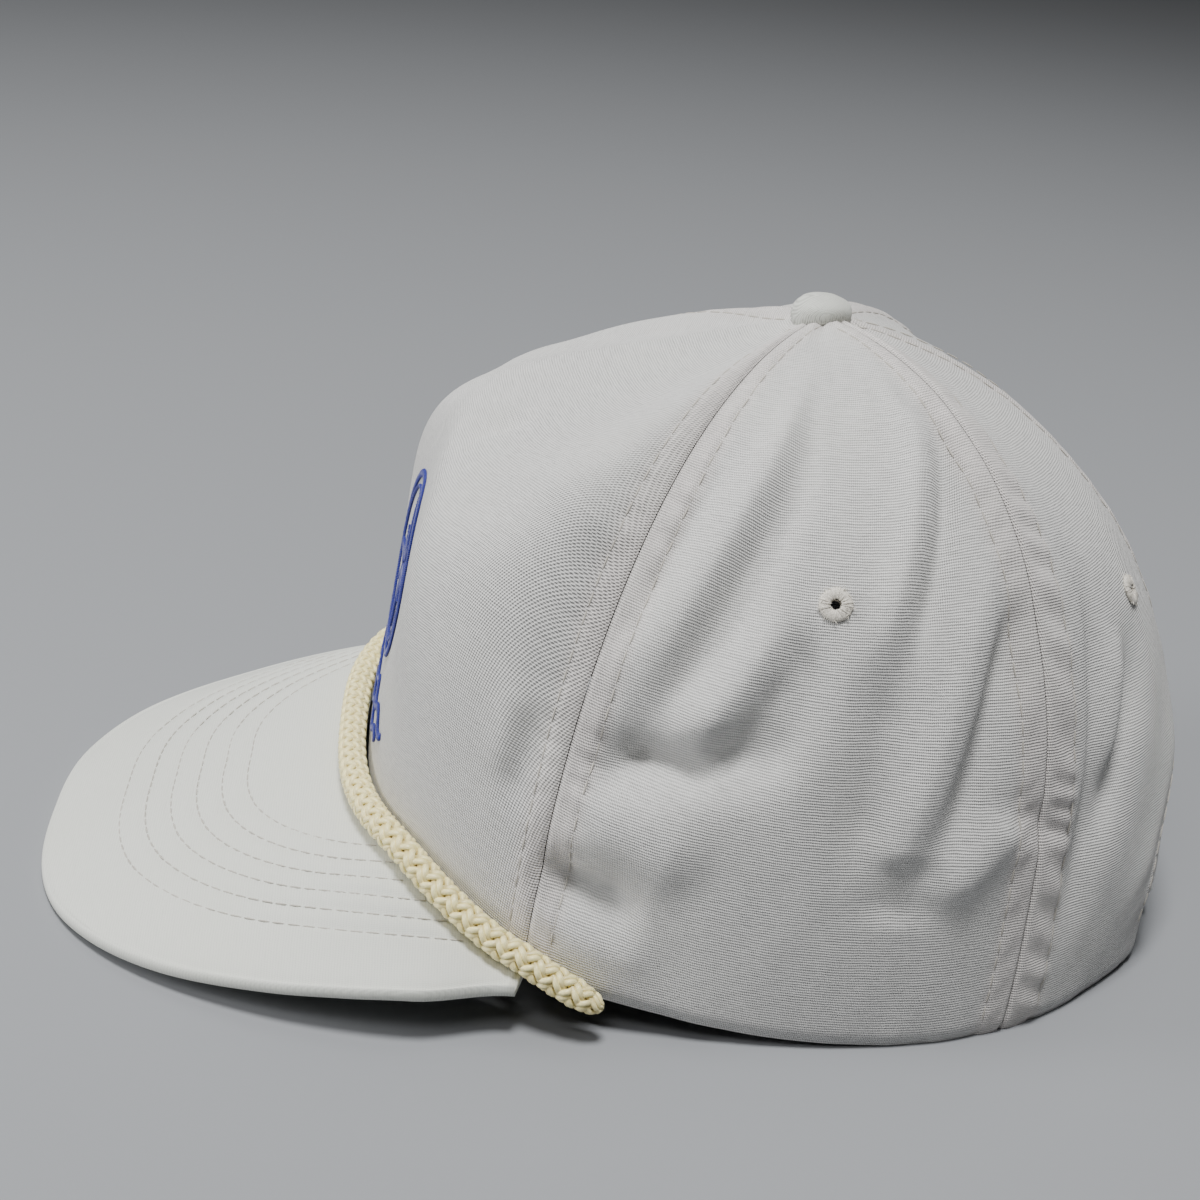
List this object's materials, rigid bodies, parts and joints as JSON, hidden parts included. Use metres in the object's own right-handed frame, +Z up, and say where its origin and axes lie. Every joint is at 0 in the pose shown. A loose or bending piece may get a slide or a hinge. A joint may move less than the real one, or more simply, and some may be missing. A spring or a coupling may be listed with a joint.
{
  "type": "five-panel cap",
  "caption": "Rope-front cap with a tall flat front panel, soft side and back panels, a curved stitched peak, a top button and an adjustable back strap.",
  "frame": {"origin": "on the ground under the middle of the whole cap, with the rim and the peak's tip resting on the ground", "axes": "+Z up, the peak points to -Y, the wearer's left is +X"},
  "size_m": [0.1786, 0.2732, 0.1452],
  "materials": {
    "panel_cloth": "matt ribbed cotton cloth",
    "peak_cloth": "matt ribbed cotton cloth over a board, stitched in rows",
    "button_cloth": "matt ribbed cotton cloth",
    "eyelet_thread": "satin-stitched thread",
    "rope_cord": "braided cord with a soft sheen",
    "strap_plastic": "semi-matt moulded plastic"
  },
  "bodies": {
    "root": {"front_panel": "panel_cloth", "left_side_panel": "panel_cloth", "right_side_panel": "panel_cloth", "left_back_panel": "panel_cloth", "right_back_panel": "panel_cloth", "left_side_eyelet": "eyelet_thread", "left_back_eyelet": "eyelet_thread", "right_side_eyelet": "eyelet_thread", "right_back_eyelet": "eyelet_thread", "top_button": "button_cloth", "peak": "peak_cloth", "rope": "rope_cord", "back_strap": "strap_plastic"}
  },
  "joints": []
}
